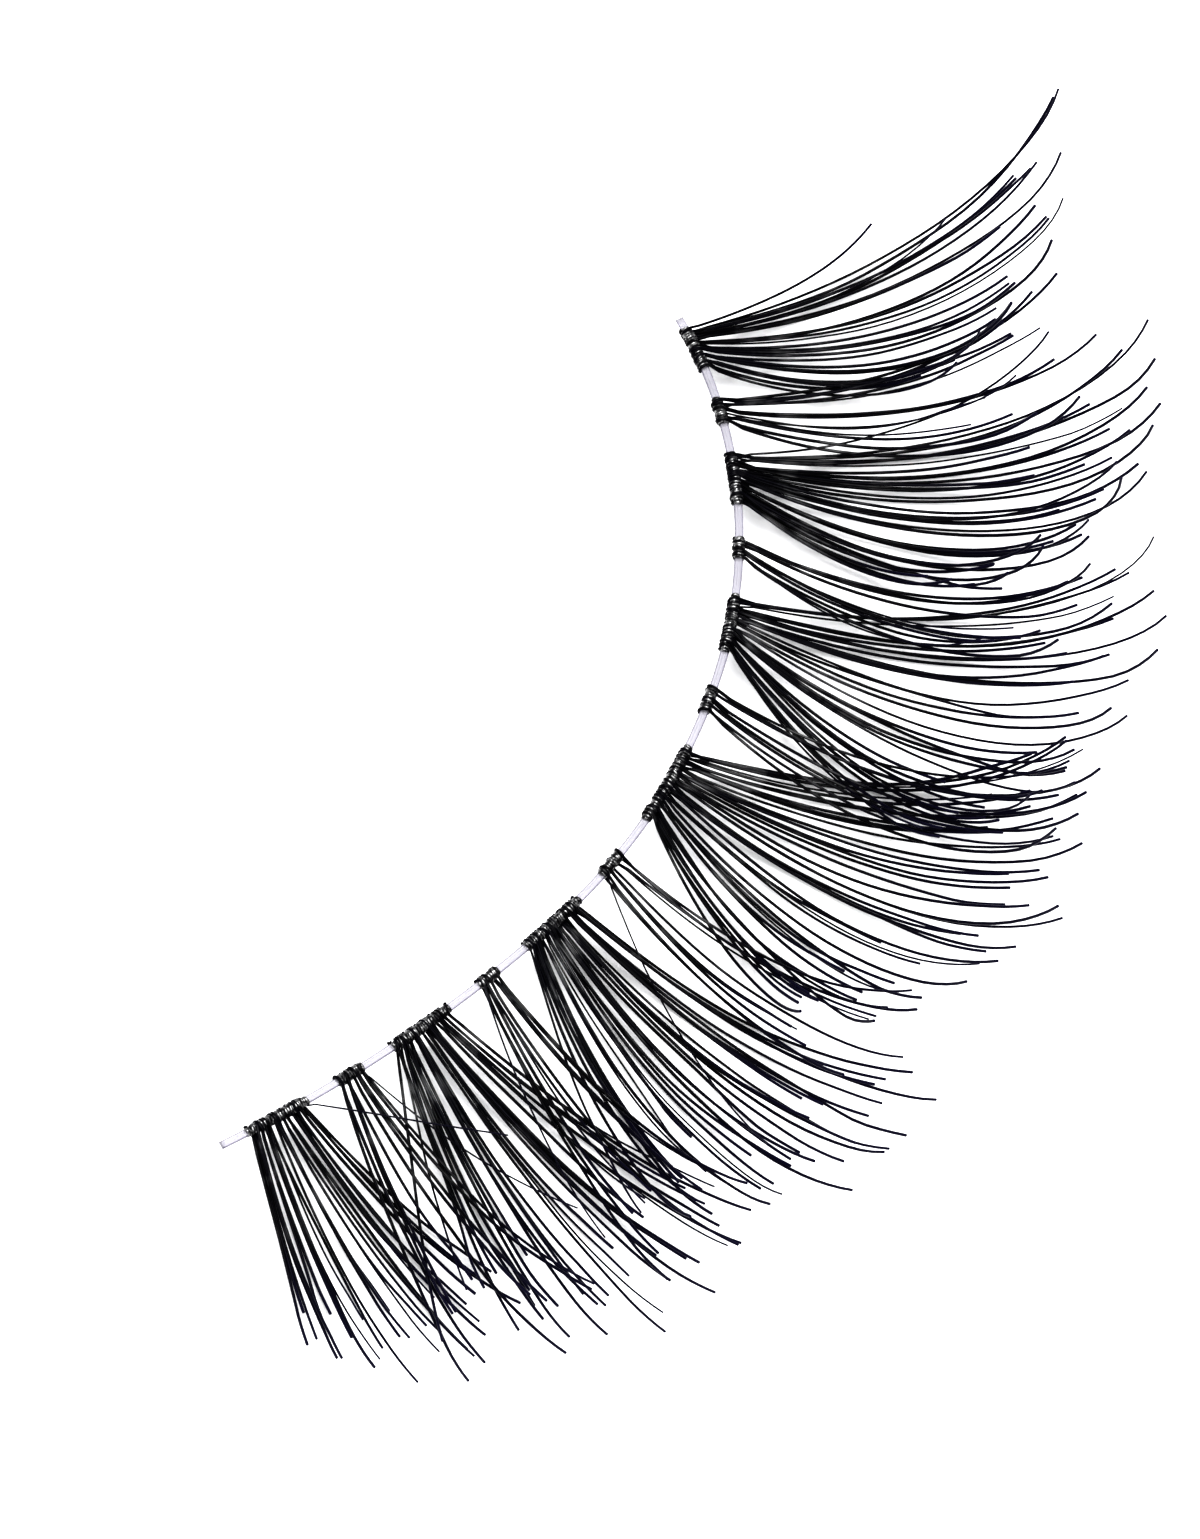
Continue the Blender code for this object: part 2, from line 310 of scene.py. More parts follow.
class LashHairSettings(bpy.types.PropertyGroup):
    """The hairs of the tufts."""

    thickness: bpy.props.FloatProperty(
        name="Thickness", description="Thickness of the boldest hairs", default=0.102 * MM,
        unit="LENGTH")
    tip: bpy.props.FloatProperty(
        name="Tip", description="Part of the thickness left at the tip", default=0.96, subtype="FACTOR")
    sides: bpy.props.IntProperty(
        name="Sides", description="Faces round a hair", default=6, min=3)
    waviness: bpy.props.FloatProperty(
        name="Waviness", description="How far a tip strays from its course", default=0.22 * MM,
        unit="LENGTH")
    splay: bpy.props.FloatProperty(
        name="Splay", description="Spread of the hairs of one lock", default=math.radians(1.9),
        subtype="ANGLE")
    seed: bpy.props.IntProperty(
        name="Seed", description="Start of the hairs' random course", default=11)
    colour: bpy.props.FloatVectorProperty(
        name="Colour", description="Colour of the fibre", subtype="COLOR", size=4,
        default=(0.0010, 0.0009, 0.0014, 1.0))
    tip_colour: bpy.props.FloatVectorProperty(
        name="Tip colour", description="Colour of the fibre at its tip", subtype="COLOR", size=4,
        default=(0.006, 0.005, 0.018, 1.0))
    roughness: bpy.props.FloatProperty(
        name="Roughness", description="Roughness of the fibre", default=0.30, subtype="FACTOR")
    sheen: bpy.props.FloatProperty(
        name="Sheen", description="Specular level of the patches of sheen", default=0.5, subtype="FACTOR")


class LashKnotSettings(bpy.types.PropertyGroup):
    """The wound knots."""

    half_width: bpy.props.FloatProperty(
        name="Half width", description="Reach of the winding from the band's middle",
        default=0.20 * MM, unit="LENGTH")
    thread: bpy.props.FloatProperty(
        name="Thread", description="Thickness of the winding thread", default=0.105 * MM, unit="LENGTH")
    pitch: bpy.props.FloatProperty(
        name="Pitch", description="Distance from turn to turn", default=0.080 * MM, unit="LENGTH")
    unevenness: bpy.props.FloatProperty(
        name="Unevenness", description="How much the turns differ in size", default=0.10,
        subtype="FACTOR")
    colour: bpy.props.FloatVectorProperty(
        name="Colour", description="Colour of the wound thread", subtype="COLOR", size=4,
        default=(0.0020, 0.0018, 0.0028, 1.0))
    roughness: bpy.props.FloatProperty(
        name="Roughness", description="Roughness of the wound thread", default=0.20, subtype="FACTOR")
    gloss: bpy.props.FloatProperty(
        name="Gloss", description="Specular level of the smoothest places", default=2.6, min=0.0)


class LashStageSettings(bpy.types.PropertyGroup):
    """The floor and the light."""

    floor_colour: bpy.props.FloatVectorProperty(
        name="Floor", description="Colour of the floor", subtype="COLOR", size=4,
        default=(0.92, 0.92, 0.93, 1.0))
    floor_size: bpy.props.FloatProperty(
        name="Floor size", description="Width of the floor", default=3.0, unit="LENGTH")
    sky: bpy.props.FloatProperty(
        name="Sky", description="Strength of the light from all round", default=0.60)
    key: bpy.props.FloatProperty(
        name="Key", description="Power of the light that the knots reflect, in watts", default=1.0)
    fill: bpy.props.FloatProperty(
        name="Fill", description="Power of the large soft light in watts", default=8.4)


# Materials

def shader_nodes(name):
    """A new material with its node tree and its shader."""
    material = bpy.data.materials.new(name)
    material.use_nodes = True
    tree = material.node_tree
    return material, tree, tree.nodes["Principled BSDF"]


def object_noise(tree, scale, detail):
    """A noise that stands still on the object, with its size given as waves a metre."""
    place = tree.nodes.new("ShaderNodeTexCoord")
    noise = tree.nodes.new("ShaderNodeTexNoise")
    noise.inputs["Scale"].default_value = scale
    noise.inputs["Detail"].default_value = detail
    tree.links.new(place.outputs["Object"], noise.inputs["Vector"])
    return noise


def ramp(tree, source, stops):
    """Colours along a value, a row for each stop: place, colour."""
    node = tree.nodes.new("ShaderNodeValToRGB")
    while len(node.color_ramp.elements) < len(stops):
        node.color_ramp.elements.new(0.5)
    for element, (place, colour) in zip(node.color_ramp.elements, stops):
        element.position = place
        element.color = colour
    tree.links.new(source, node.inputs["Fac"])
    return node


def blend(tree, factor, low, high):
    """A value that goes from low to high as the factor goes from 0 to 1."""
    node = tree.nodes.new("ShaderNodeMapRange")
    node.inputs["To Min"].default_value = low
    node.inputs["To Max"].default_value = high
    tree.links.new(factor, node.inputs["Value"])
    return node.outputs["Result"]


def own(tree, name):
    """An attribute of the mesh, as a value."""
    node = tree.nodes.new("ShaderNodeAttribute")
    node.attribute_name = name
    return node.outputs["Fac"]


def fibre_material(settings):
    """Black fibre with patches of sheen along the belly, that turns faintly violet towards its tip."""
    material, tree, shader = shader_nodes("black_lash_fibre")
    base, tip = tuple(settings.colour), tuple(settings.tip_colour)
    middle = tuple((a + b) / 2.0 for a, b in zip(base, tip))
    along = own(tree, "along")
    colours = ramp(tree, along, ((0.0, base), (0.62, base), (0.86, middle), (1.0, tip)))
    mix = tree.nodes.new("ShaderNodeMix")
    mix.data_type = "RGBA"
    tree.links.new(own(tree, "tone"), mix.inputs["Factor"])
    tree.links.new(colours.outputs["Color"], mix.inputs["A"])
    mix.inputs["B"].default_value = middle
    tree.links.new(mix.outputs["Result"], shader.inputs["Base Color"])
    none, some = (0.0, 0.0, 0.0, 1.0), (1.0, 1.0, 1.0, 1.0)
    belly = ramp(tree, along, ((0.12, none), (0.28, some), (0.42, some), (0.60, none)))
    patch = object_noise(tree, SHEEN_WAVES, 4.0)
    patches = ramp(tree, patch.outputs["Fac"], ((0.52, none), (0.66, some)))
    sheen = tree.nodes.new("ShaderNodeMath")
    sheen.operation = "MULTIPLY"
    tree.links.new(belly.outputs["Color"], sheen.inputs[0])
    tree.links.new(patches.outputs["Color"], sheen.inputs[1])
    level = blend(tree, sheen.outputs[0], 0.05, settings.sheen)
    tree.links.new(level, shader.inputs["Specular IOR Level"])
    gloss = object_noise(tree, FIBRE_WAVES, 3.0)
    spread = blend(tree, gloss.outputs["Fac"], settings.roughness - 0.08, settings.roughness + 0.14)
    tree.links.new(spread, shader.inputs["Roughness"])
    return material


def knot_material(settings):
    """Black thread pulled tight, with bright glints where it lies smooth, and a paler colour on the same
    spots as painted glint.
    """
    material, tree, shader = shader_nodes("wound_black_thread")
    mottle = object_noise(tree, THREAD_WAVES, 3.0)
    base = tuple(settings.colour)
    # Painted glint: a paler colour on the mottle's high spots, where the glints also lie
    painted_glint = tuple(part + 0.02 for part in base[:3]) + (1.0,)
    colours = ramp(tree, mottle.outputs["Fac"], ((0.0, base), (0.50, base), (0.70, painted_glint)))
    tree.links.new(colours.outputs["Color"], shader.inputs["Base Color"])
    dull, bright = (0.1, 0.1, 0.1, 1.0), (1.0, 1.0, 1.0, 1.0)
    smooth = ramp(tree, mottle.outputs["Fac"], ((0.46, dull), (0.58, bright)))
    level = blend(tree, smooth.outputs["Color"], 0.0, settings.gloss)
    tree.links.new(level, shader.inputs["Specular IOR Level"])
    spread = blend(tree, smooth.outputs["Color"], settings.roughness + 0.10, settings.roughness)
    tree.links.new(spread, shader.inputs["Roughness"])
    bump = tree.nodes.new("ShaderNodeBump")
    bump.inputs["Strength"].default_value = 0.5
    bump.inputs["Distance"].default_value = 0.02 * MM
    tree.links.new(mottle.outputs["Fac"], bump.inputs["Height"])
    tree.links.new(bump.outputs["Normal"], shader.inputs["Normal"])
    return material


def nylon_material(settings):
    """Clear nylon, faintly cloudy, with painted shade on its edges: a darker tint for the refraction
    lines.
    """
    material, tree, shader = shader_nodes("clear_nylon")
    shader.inputs["Transmission Weight"].default_value = 0.6
    shader.inputs["IOR"].default_value = 1.45
    shader.inputs["Specular IOR Level"].default_value = 0.12
    cloud = object_noise(tree, NYLON_WAVES, 2.0)
    colour = tuple(settings.colour)
    cloudy = tuple(0.95 * part for part in colour[:3]) + (1.0,)
    colours = ramp(tree, cloud.outputs["Fac"], ((0.35, cloudy), (0.65, colour)))
    # Painted shade: the edges are tinted darker where refraction would draw dark lines
    mix = tree.nodes.new("ShaderNodeMix")
    mix.data_type = "RGBA"
    tree.links.new(own(tree, "edge"), mix.inputs["Factor"])
    tree.links.new(colours.outputs["Color"], mix.inputs["A"])
    mix.inputs["B"].default_value = tuple(settings.painted_edge_shade_colour)
    tree.links.new(mix.outputs["Result"], shader.inputs["Base Color"])
    spread = blend(tree, cloud.outputs["Fac"], settings.roughness - 0.05, settings.roughness + 0.12)
    tree.links.new(spread, shader.inputs["Roughness"])
    return material


def floor_material(settings):
    """A plain pale floor with the faintest grain."""
    material, tree, shader = shader_nodes("pale_floor")
    grain = object_noise(tree, FLOOR_WAVES, 4.0)
    colour = tuple(settings.floor_colour)
    darker = tuple(0.985 * part for part in colour[:3]) + (1.0,)
    colours = ramp(tree, grain.outputs["Fac"], ((0.3, darker), (0.7, colour)))
    tree.links.new(colours.outputs["Color"], shader.inputs["Base Color"])
    shader.inputs["Roughness"].default_value = 0.7
    return material


def kept_material(name, maker, settings):
    """The material of that name, made the first time that it is asked for."""
    return bpy.data.materials.get(name) or maker(settings)


# Geometry node trees

def new_tree(name, inputs):
    """A node tree with named inputs, a row for each: name, socket type, default or None."""
    tree = bpy.data.node_groups.new(name, "GeometryNodeTree")
    tree.is_modifier = True
    tree.interface.new_socket("Geometry", in_out="INPUT", socket_type="NodeSocketGeometry")
    for label, kind, value in inputs:
        socket = tree.interface.new_socket(label, in_out="INPUT", socket_type=kind)
        if value is not None:
            socket.default_value = value
    tree.interface.new_socket("Geometry", in_out="OUTPUT", socket_type="NodeSocketGeometry")
    return tree


class TreeMaker:
    """Short words for adding nodes to a tree and joining them."""

    def __init__(self, tree):
        self.tree = tree
        self.given = tree.nodes.new("NodeGroupInput")
        self.result = tree.nodes.new("NodeGroupOutput")

    def add(self, kind, values=None, **settings):
        """A new node with its settings and its inputs, each of which is a value or a socket to join."""
        node = self.tree.nodes.new(kind)
        for key, value in settings.items():
            setattr(node, key, value)
        for key, value in (values or {}).items():
            if isinstance(value, bpy.types.NodeSocket):
                self.tree.links.new(value, node.inputs[key])
            else:
                node.inputs[key].default_value = value
        return node

    def attribute(self, name):
        """A named attribute of the geometry."""
        return self.add("GeometryNodeInputNamedAttribute", {"Name": name}, data_type="FLOAT").outputs[0]

    def maths(self, operation, first, second):
        """One step of arithmetic."""
        return self.add("ShaderNodeMath", {0: first, 1: second}, operation=operation).outputs[0]

    def finish(self, geometry, material):
        """Smooths the geometry, makes its instances real, dresses it and hands it out of the tree."""
        smooth = self.add("GeometryNodeSetShadeSmooth", {"Geometry": geometry})
        real = self.add("GeometryNodeRealizeInstances", {"Geometry": smooth.outputs[0]})
        dressed = self.add("GeometryNodeSetMaterial", {"Geometry": real.outputs[0], "Material": material})
        self.tree.links.new(dressed.outputs[0], self.result.inputs["Geometry"])


def hair_tree():
    """Turns chains of edges into closed hairs that stray a little from their course."""
    tree = new_tree("lash_hairs", (
        ("Thickness", "NodeSocketFloat", 0.08 * MM),
        ("Sides", "NodeSocketInt", 6),
        ("Waviness", "NodeSocketFloat", 0.1 * MM),
        ("Waves a metre", "NodeSocketFloat", 160.0),
        ("Seed", "NodeSocketInt", 0),
        ("Fibre", "NodeSocketMaterial", None),
    ))
    maker = TreeMaker(tree)
    given = maker.given.outputs
    along = maker.attribute("along")
    tone = maker.attribute("tone")
    drift = maker.maths("ADD", maker.maths("MULTIPLY", tone, TONE_SHIFT), given["Seed"])
    noise = maker.add(
        "ShaderNodeTexNoise",
        {"W": drift, "Scale": given["Waves a metre"], "Detail": 1.0},
        noise_dimensions="4D",
    )
    place = maker.add("GeometryNodeInputPosition")
    tree.links.new(place.outputs[0], noise.inputs["Vector"])
    centred = maker.add(
        "ShaderNodeVectorMath",
        {0: noise.outputs["Color"], 1: (0.5, 0.5, 0.5)},
        operation="SUBTRACT",
    )
    reach = maker.maths("MULTIPLY", maker.maths("MULTIPLY", along, FULL_SWING), given["Waviness"])
    offset = maker.add("ShaderNodeVectorMath", {0: centred.outputs[0]}, operation="SCALE")
    tree.links.new(reach, offset.inputs["Scale"])
    moved = maker.add(
        "GeometryNodeSetPosition", {"Geometry": given["Geometry"], "Offset": offset.outputs[0]})
    size = maker.maths("MULTIPLY", maker.attribute("thickness"), given["Thickness"])
    strayed = maker.add("GeometryNodeInputPosition")
    parts = maker.add("ShaderNodeSeparateXYZ", {0: strayed.outputs[0]})
    height = maker.maths("MAXIMUM", parts.outputs["Z"], maker.maths("MULTIPLY", size, 0.5))
    above = maker.add(
        "ShaderNodeCombineXYZ", {"X": parts.outputs["X"], "Y": parts.outputs["Y"], "Z": height})
    lifted = maker.add(
        "GeometryNodeSetPosition", {"Geometry": moved.outputs[0], "Position": above.outputs[0]})
    curve = maker.add("GeometryNodeMeshToCurve", {"Mesh": lifted.outputs[0]})
    profile = maker.add("GeometryNodeCurvePrimitiveCircle", {"Resolution": given["Sides"], "Radius": 0.5})
    hairs = maker.add("GeometryNodeCurveToMesh", {
        "Curve": curve.outputs[0],
        "Profile Curve": profile.outputs[0],
        "Scale": size,
        "Fill Caps": True,
    })
    maker.finish(hairs.outputs[0], given["Fibre"])
    return tree


def knot_tree():
    """Winds uneven turns of thread round a chain of edges that has a lumpy core."""
    tree = new_tree("wound_knot", (
        ("Thread", "NodeSocketFloat", 0.07 * MM),
        ("Pitch", "NodeSocketFloat", 0.06 * MM),
        ("Half width", "NodeSocketFloat", 0.2 * MM),
        ("Unevenness", "NodeSocketFloat", 0.15),
        ("Seed", "NodeSocketInt", 0),
        ("Thread material", "NodeSocketMaterial", None),
    ))
    maker = TreeMaker(tree)
    given = maker.given.outputs
    curve = maker.add("GeometryNodeMeshToCurve", {"Mesh": given["Geometry"]})
    swell = maker.attribute("thickness")
    core_profile = maker.add(
        "GeometryNodeCurvePrimitiveCircle", {"Resolution": CORE_SIDES, "Radius": 1.0})
    inset = maker.maths("MULTIPLY", given["Thread"], CORE_INSET)
    core_radius = maker.maths("SUBTRACT", given["Half width"], inset)
    core = maker.add("GeometryNodeCurveToMesh", {
        "Curve": curve.outputs[0],
        "Profile Curve": core_profile.outputs[0],
        "Scale": maker.maths("MULTIPLY", swell, core_radius),
        "Fill Caps": True,
    })
    turns = maker.add(
        "GeometryNodeResampleCurve", {"Curve": curve.outputs[0], "Length": given["Pitch"]}, mode="LENGTH")
    thread_radius = maker.maths("MULTIPLY", given["Thread"], 0.5)
    ring_radius = maker.maths("SUBTRACT", given["Half width"], thread_radius)
    ring_path = maker.add(
        "GeometryNodeCurvePrimitiveCircle", {"Resolution": TURN_STEPS, "Radius": ring_radius})
    thread_profile = maker.add(
        "GeometryNodeCurvePrimitiveCircle", {"Resolution": THREAD_SIDES, "Radius": thread_radius})
    ring = maker.add("GeometryNodeCurveToMesh", {
        "Curve": ring_path.outputs[0],
        "Profile Curve": thread_profile.outputs[0],
        "Scale": 1.0,
    })
    tangent = maker.add("GeometryNodeInputTangent")
    facing = maker.add("FunctionNodeAlignRotationToVector", {"Vector": tangent.outputs[0]}, axis="Z")
    tilt = maker.add("FunctionNodeRandomValue", {"Seed": given["Seed"]}, data_type="FLOAT_VECTOR")
    tilt.inputs[0].default_value = (-TURN_TILT, -TURN_TILT, 0.0)
    tilt.inputs[1].default_value = (TURN_TILT, TURN_TILT, math.tau)
    tilted = maker.add("FunctionNodeRotateRotation", {
        "Rotation": facing.outputs[0],
        "Rotate By": maker.add("FunctionNodeEulerToRotation", {"Euler": tilt.outputs[0]}).outputs[0],
    }, rotation_space="LOCAL")
    least = maker.maths("SUBTRACT", 1.0, given["Unevenness"])
    most = maker.maths("ADD", 1.0, maker.maths("MULTIPLY", given["Unevenness"], UPWARD_PART))
    random_size = maker.add(
        "FunctionNodeRandomValue", {2: least, 3: most, "Seed": given["Seed"]}, data_type="FLOAT")
    size = maker.maths("MULTIPLY", random_size.outputs[1], swell)
    shape = maker.add("ShaderNodeCombineXYZ", {"X": size, "Y": size, "Z": 1.0})
    placed = maker.add("GeometryNodeInstanceOnPoints", {
        "Points": turns.outputs[0],
        "Instance": ring.outputs[0],
        "Rotation": tilted.outputs[0],
        "Scale": shape.outputs[0],
    })
    joined = maker.add("GeometryNodeJoinGeometry")
    tree.links.new(placed.outputs[0], joined.inputs[0])
    tree.links.new(core.outputs[0], joined.inputs[0])
    maker.finish(joined.outputs[0], given["Thread material"])
    return tree


def kept_tree(name, maker):
    """The node tree of that name, made the first time that it is asked for."""
    return bpy.data.node_groups.get(name) or maker()


def chains(name, strands):
    """A mesh of loose edges, a chain for each strand: its points, the thickness at each, and its tone."""
    points, edges, thickness, along, tone = [], [], [], [], []
    for path, sizes, strand_tone in strands:
        first = len(points)
        points.extend(path)
        thickness.extend(sizes)
        last = len(path) - 1
        along.extend(i / last for i in range(len(path)))
        tone.extend([strand_tone] * len(path))
        edges.extend((first + i, first + i + 1) for i in range(last))
    mesh = bpy.data.meshes.new(name)
    mesh.from_pydata(points, edges, [])
    for label, values in (("thickness", thickness), ("along", along), ("tone", tone)):
        layer = mesh.attributes.new(label, "FLOAT", "POINT")
        layer.data.foreach_set("value", values)
    source = bpy.data.objects.new(name, mesh)
    bpy.context.scene.collection.objects.link(source)
    return source


def grown(source, tree, values):
    """Runs a node tree on a source object and returns what it makes as an object with a plain mesh."""
    name = source.name
    modifier = source.modifiers.new(tree.name, "NODES")
    modifier.node_group = tree
    for item in tree.interface.items_tree:
        if item.in_out == "INPUT" and item.name in values:
            modifier[item.identifier] = values[item.name]
    bpy.context.view_layer.update()
    graph = bpy.context.evaluated_depsgraph_get()
    mesh = bpy.data.meshes.new_from_object(source.evaluated_get(graph), depsgraph=graph)
    source.modifiers.remove(modifier)
    bpy.data.objects.remove(source)
    if not mesh.polygons:
        raise RuntimeError(name + " has no faces")
    mesh.name = name
    piece = bpy.data.objects.new(name, mesh)
    bpy.context.scene.collection.objects.link(piece)
    return piece


# The course of the hairs

def pitch_at(share, start_pitch, tip_pitch):
    """A lash's pitch in degrees at a share of its course: down at the root, ever steeper to the tip."""
    return start_pitch + (tip_pitch - start_pitch) * share ** CURL_POWER


def lash_dip(length, start_pitch, tip_pitch):
    """How far below its root the lowest point of a lash lies."""
    height = 0.0
    lowest = 0.0
    for i in range(DIP_STEPS):
        pitch = math.radians(pitch_at((i + 0.5) / DIP_STEPS, start_pitch, tip_pitch))
        height += length / DIP_STEPS * math.sin(pitch)
        lowest = min(lowest, height)
    return -lowest


def start_pitch_for(length, tip_pitch, dip):
    """The pitch at the root with which a lash dips as far as asked, found by halving."""
    steep, flat = STEEPEST_PITCH, 0.0
    for _ in range(HALVINGS):
        middle = (steep + flat) / 2.0
        if lash_dip(length, middle, tip_pitch) > dip:
            steep = middle
        else:
            flat = middle
    return (steep + flat) / 2.0


def lash_path(root, azimuth, length, course, start_pitch, tip_pitch, turn):
    """The course of one hair outside its knot: dipping at first, then curling up and turning sideways."""
    step = length / LASH_STEPS
    point = root.copy()
    path = [point.copy()]
    for i in range(LASH_STEPS):
        share = (i + 0.5) * step / course
        pitch = math.radians(pitch_at(share, start_pitch, tip_pitch))
        heading = math.radians(azimuth + turn * (share - 0.5))
        point = point + step * Vector((
            math.cos(pitch) * math.cos(heading),
            math.cos(pitch) * math.sin(heading),
            math.sin(pitch),
        ))
        path.append(point.copy())
    return path


def above_floor(path, clearance):
    """The same course with its belly no lower than the clearance, bent up gently from the root on."""
    heights = [point.z for point in path]
    lowest = min(heights)
    if lowest >= clearance:
        return path
    belly = max(1, heights.index(lowest))
    return [
        point + (clearance - lowest) * min(1.0, i / belly) * UP
        for i, point in enumerate(path)
    ]


def wrap_path(station, swell, over, drift):
    """The root of a hair, bent round the knot from its inner side over the top, or under it."""
    path = []
    last = len(WRAP_ANGLES) - 1
    for i, angle in enumerate(WRAP_ANGLES):
        point, _, outward = band_frame(station + drift * (i / last - 1.0))
        turn = math.radians(angle)
        path.append(
            point
            + swell * WRAP_HALF_WIDTH * math.cos(turn) * outward
            + swell * WRAP_HALF_HEIGHT * math.sin(turn) * (1.0 if over else -1.0) * UP
        )
    return path


def hair_sort(rng):
    """The part of the full thickness that a hair has, picked by the sorts' shares."""
    pick = rng.random()
    for share, part in HAIR_SORTS:
        pick -= share
        if pick <= 0.0:
            return part
    return HAIR_SORTS[-1][1]


def hair_sizes(count, wrapped, part, tip):
    """The thickness at each point of a hair: even round the knot, a little finer towards the tip."""
    sizes = [part] * wrapped
    lash = count - wrapped
    for i in range(lash):
        share = i / (lash - 1)
        sizes.append(part * (1.0 - (1.0 - tip) * share ** TAPER_POWER))
    return sizes


def drawn_together(hairs, clumps):
    """The same hairs, drawn to the middle of their clump along the belly and let go again at the tips."""
    groups = {}
    for hair in hairs:
        groups.setdefault(min(clumps - 1, int(hair["place"] * clumps)), []).append(hair)
    for group in groups.values():
        middles = [
            sum((hair["lash"][i] for hair in group), Vector()) / len(group)
            for i in range(LASH_STEPS + 1)
        ]
        for hair in group:
            for i in range(1, LASH_STEPS + 1):
                share = min(1.0, i / LASH_STEPS / CLUMP_RELEASE)
                pull = hair["grip"] * math.sin(math.pi * share)
                hair["lash"][i] = hair["lash"][i].lerp(middles[i], pull)
    return hairs


def across_fan(first, centre, last, share):
    """A length at a share of the way across a fan, through its first, middle and last."""
    return (
        first * (1.0 - share) * (1.0 - 2.0 * share)
        + 4.0 * centre * share * (1.0 - share)
        + last * share * (2.0 * share - 1.0)
    )


def lock_hairs(row, splay, rng):
    """The hairs that lie along the locks of a tuft's solid."""
    name, middle, knot_length, count, fan_first, fan_last, first, centre, last = row[:9]
    tip_pitch, turn_first, turn_last = row[9:]
    small = "small" in name
    longest = max(first, centre, last)
    start_pitch = start_pitch_for(longest, tip_pitch, SMALL_DIP if small else LARGE_DIP)
    in_locks = OTHER_HAIRS.get(name, SMALL_HAIRS if small else LARGE_HAIRS)
    hairs = []
    for i in range(count):
        share = i / (count - 1)
        fan = fan_first + (fan_last - fan_first) * share
        turn = turn_first + (turn_last - turn_first) * share
        course = across_fan(first, centre, last, share)
        reach = course * REACH_PATTERN[i % len(REACH_PATTERN)]
        layer = i % 2
        in_lock = in_locks[i % len(in_locks)]
        for j in range(in_lock):
            station = middle + knot_length * (ROOT_SPREAD * (share - 0.5))
            station += rng.uniform(-STATION_SPREAD, STATION_SPREAD)
            point, _, outward = band_frame(station)
            height = LAYER_HEIGHT * (2 * layer - 1) + rng.uniform(-HEIGHT_SPREAD, HEIGHT_SPREAD)
            root = point + ROOT_DEPTH * outward + height * UP
            azimuth = math.degrees(math.atan2(outward.y, outward.x)) + fan
            azimuth += splay * (j - (in_lock - 1) / 2.0) + rng.gauss(0.0, SPLAY_SPREAD * splay)
            length = reach * (rng.uniform(*FIRST_REACH) if j == 0 else rng.uniform(*OTHER_REACH))
            pitch = start_pitch + LAYER_PITCH * layer + rng.uniform(*PITCH_RANGE)
            curl = tip_pitch * rng.uniform(*CURL_RANGE)
            bend = turn + rng.gauss(0.0, BEND_SPREAD)
            hairs.append({
                "place": max(0.0, share + rng.gauss(0.0, PLACE_SPREAD)),
                "station": station,
                "part": hair_sort(rng),
                "grip": CLUMP_GRIP * rng.uniform(*GRIP_RANGE),
                "lash": lash_path(root, azimuth, length, course, pitch, curl, bend),
            })
    return drawn_together(hairs, SMALL_CLUMPS if small else LARGE_CLUMPS)


def stray_hairs(name, middle, knot_length):
    """The hairs that leave their tuft's order."""
    hairs = []
    for tuft, place, direction, length, pitch, curl, bend, part in STRAYS:
        if tuft != name:
            continue
        station = middle + knot_length * place
        point, _, outward = band_frame(station)
        root = point + ROOT_DEPTH * outward + LAYER_HEIGHT * UP
        azimuth = math.degrees(math.atan2(outward.y, outward.x)) + direction
        hairs.append({
            "station": station,
            "part": part,
            "lash": lash_path(root, azimuth, length, length, pitch, curl, bend),
        })
    return hairs


def tuft_strands(row, settings, seed):
    """All the hairs of one tuft with their bent roots: each one's points, thicknesses and tone."""
    rng = random.Random(seed)
    hairs = lock_hairs(row, math.degrees(settings.splay), rng) + stray_hairs(*row[:3])
    strands = []
    for hair in hairs:
        part = hair["part"]
        lash = above_floor(hair["lash"], part * settings.thickness / 2.0)
        step = (lash[1] - lash[0]).length
        start = max(1, round(ROOT_SKIP / step))
        drift = rng.choice((-1.0, 1.0)) * WRAP_DRIFT
        wrapped = wrap_path(
            hair["station"], rng.uniform(*WRAP_RANGE), rng.random() < WRAPPED_OVER, drift)
        path = wrapped + lash[start:]
        tone = rng.random() * (BOLD_TONE if part > BOLD_FROM else 1.0)
        strands.append((path, hair_sizes(len(path), len(wrapped), part, settings.tip), tone))
    return strands


def swept(name, outlines, material):
    """A closed smooth tube through outlines with the same number of points."""
    mesh = bmesh.new()
    rows = [[mesh.verts.new(point) for point in outline] for outline in outlines]
    sides = len(rows[0])
    for row, following in zip(rows, rows[1:]):
        for i in range(sides):
            j = (i + 1) % sides
            mesh.faces.new((row[i], row[j], following[j], following[i]))
    mesh.faces.new(list(reversed(rows[0])))
    mesh.faces.new(rows[-1])
    bmesh.ops.recalc_face_normals(mesh, faces=mesh.faces)
    for face in mesh.faces:
        face.smooth = len(face.verts) == 4
    data = bpy.data.meshes.new(name)
    mesh.to_mesh(data)
    mesh.free()
    data.materials.append(material)
    piece = bpy.data.objects.new(name, data)
    bpy.context.scene.collection.objects.link(piece)
    return piece


def ribbon_outline(width, thickness, threads):
    """The section of clear threads that are fused side by side, as distances across and up."""
    radius = thickness / 2.0
    pitch = (width - thickness) / (threads - 1)
    groove = math.degrees(math.acos(pitch / 2.0 / radius))
    crest = []
    for k in range(threads):
        centre = (k - (threads - 1) / 2.0) * pitch
        first = 180.0 if k == 0 else 180.0 - groove
        last = 0.0 if k == threads - 1 else groove
        for i in range(0 if k == 0 else 1, THREAD_STEPS + 1):
            angle = math.radians(first + (last - first) * i / THREAD_STEPS)
            crest.append((centre + radius * math.cos(angle), radius * math.sin(angle)))
    under = [(across, -rise) for across, rise in reversed(crest[1:-1])]
    return crest + under


def rides(piece, node):
    """Binds a finished piece to the part: its body and the solid that it dresses."""
    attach(piece, "root")
    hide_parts(node)


